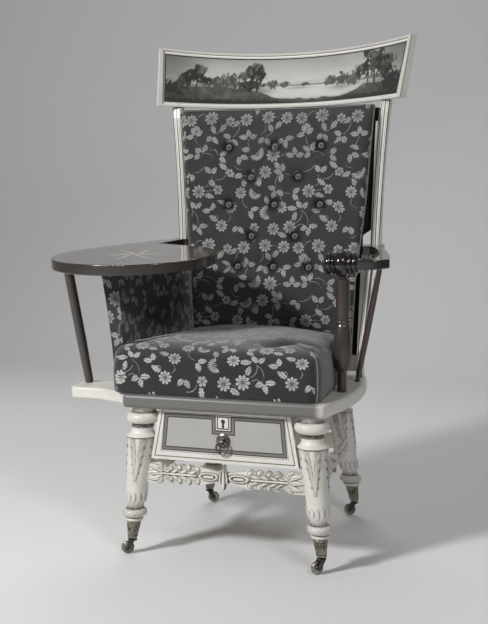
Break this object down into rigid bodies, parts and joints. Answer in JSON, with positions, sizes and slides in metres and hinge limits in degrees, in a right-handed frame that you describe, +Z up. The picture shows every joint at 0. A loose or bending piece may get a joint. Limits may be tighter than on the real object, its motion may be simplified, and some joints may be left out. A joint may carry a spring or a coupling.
{
  "type": "writing arm windsor chair",
  "caption": "Painted armchair with a broad writing board on one arm, tufted back, loose cushion, drawer under the seat and turned legs on casters.",
  "frame": {"origin": "on the floor under the middle of the whole outline, writing board included", "axes": "+Z up, -Y to the chair's front, +X to the sitter's left; the writing board is on the -X side"},
  "size_m": [0.7097, 0.617, 1.1081],
  "materials": {
    "cream_paint": "satin cream paint, aged in the hollows",
    "striped_paint": "satin cream paint with dark grey striping",
    "grey_paint": "cream seat with a flat grey front edge",
    "crest_paint": "painted board with a landscape panel",
    "drawer_paint": "flat grey field with dark lines on cream",
    "plain_wood": "raw pine inside",
    "dark_wood": "polished dark rosewood",
    "board_wood": "polished veneer",
    "inlay_wood": "polished inlay",
    "floral_fabric": "dark woven floral, light motifs",
    "back_fabric": "plain dark backing cloth",
    "button_fabric": "dark covered buttons",
    "aged_brass": "aged brass",
    "steel": "satin steel",
    "iron": "dark iron"
  },
  "bodies": {
    "chair": {"front_left_leg": "cream_paint", "front_left_cap": "aged_brass", "front_right_leg": "cream_paint", "front_right_cap": "aged_brass", "back_left_leg": "cream_paint", "back_left_cap": "aged_brass", "back_right_leg": "cream_paint", "back_right_cap": "aged_brass", "seat_board": "grey_paint", "writing_board_bracket": "grey_paint", "bracket_dowels": "plain_wood", "front_stretcher": "cream_paint", "left_stretcher": "cream_paint", "right_stretcher": "cream_paint", "back_stretcher": "cream_paint", "drawer_face_frame": "drawer_paint", "case_left_side": "plain_wood", "case_right_side": "plain_wood", "case_back": "plain_wood", "drawer_runners": "plain_wood", "left_lower_post": "striped_paint", "right_lower_post": "striped_paint", "left_upper_post": "striped_paint", "right_upper_post": "striped_paint", "crest_board": "crest_paint", "crest_moulding": "striped_paint", "top_back_rail": "plain_wood", "arm_back_rail": "plain_wood", "low_back_rail": "cream_paint", "back_cover": "back_fabric", "back_pad": "floral_fabric", "back_buttons": "button_fabric", "seat_cushion": "floral_fabric", "side_panel": "floral_fabric", "writing_board": "board_wood", "star_inlay": "inlay_wood", "writing_board_post": "dark_wood", "right_arm": "dark_wood", "arm_roll": "dark_wood", "right_arm_post": "dark_wood", "right_spindle": "dark_wood", "post_dowels": "plain_wood"},
    "drawer": {"drawer_front": "drawer_paint", "drawer_left_side": "plain_wood", "drawer_right_side": "plain_wood", "drawer_back": "plain_wood", "drawer_floor": "plain_wood", "keyhole_plate": "cream_paint", "lock_case": "steel", "pull_rosette": "aged_brass"},
    "pull": {"pull_ring": "aged_brass"},
    "bolt": {"lock_bolt": "steel"},
    "front_left_caster": {"front_left_caster_fork": "iron"},
    "front_left_wheel": {"front_left_caster_wheel": "aged_brass"},
    "front_right_caster": {"front_right_caster_fork": "iron"},
    "front_right_wheel": {"front_right_caster_wheel": "aged_brass"},
    "back_left_caster": {"back_left_caster_fork": "iron"},
    "back_left_wheel": {"back_left_caster_wheel": "aged_brass"},
    "back_right_caster": {"back_right_caster_fork": "iron"},
    "back_right_wheel": {"back_right_caster_wheel": "aged_brass"}
  },
  "joints": [
    {"name": "drawer_slide", "type": "slide", "parent": "chair", "child": "drawer", "axis": [0, -1, 0], "range_m": [0, 0.26]},
    {"name": "pull_hinge", "type": "hinge", "parent": "drawer", "child": "pull", "pos_m": [0.04214, -0.21866, 0.253], "axis": [-1, 0, 0], "range_deg": [0, 95]},
    {"name": "lock_bolt_slide", "type": "slide", "parent": "drawer", "child": "bolt", "axis": [0, 0, 1], "range_m": [0, 0.007]},
    {"name": "front_left_swivel", "type": "hinge", "parent": "chair", "child": "front_left_caster", "pos_m": [-0.16065, -0.20547, 0.0345], "axis": [0, 0, 1], "continuous": true},
    {"name": "front_left_roll", "type": "hinge", "parent": "front_left_caster", "child": "front_left_wheel", "pos_m": [-0.17005, -0.20889, 0.0135], "axis": [0.342, -0.9397, 0], "continuous": true},
    {"name": "front_right_swivel", "type": "hinge", "parent": "chair", "child": "front_right_caster", "pos_m": [0.24492, -0.20547, 0.0345], "axis": [0, 0, 1], "continuous": true},
    {"name": "front_right_roll", "type": "hinge", "parent": "front_right_caster", "child": "front_right_wheel", "pos_m": [0.23785, -0.21254, 0.0135], "axis": [0.7071, -0.7071, 0], "continuous": true},
    {"name": "back_left_swivel", "type": "hinge", "parent": "chair", "child": "back_left_caster", "pos_m": [-0.13927, 0.21279, 0.0345], "axis": [0, 0, 1], "continuous": true},
    {"name": "back_left_roll", "type": "hinge", "parent": "back_left_caster", "child": "back_left_wheel", "pos_m": [-0.12961, 0.21538, 0.0135], "axis": [-0.2588, 0.9659, 0], "continuous": true},
    {"name": "back_right_swivel", "type": "hinge", "parent": "chair", "child": "back_right_caster", "pos_m": [0.22354, 0.21279, 0.0345], "axis": [0, 0, 1], "continuous": true},
    {"name": "back_right_roll", "type": "hinge", "parent": "back_right_caster", "child": "back_right_wheel", "pos_m": [0.2137, 0.21106, 0.0135], "axis": [0.1736, -0.9848, 0], "continuous": true}
  ]
}
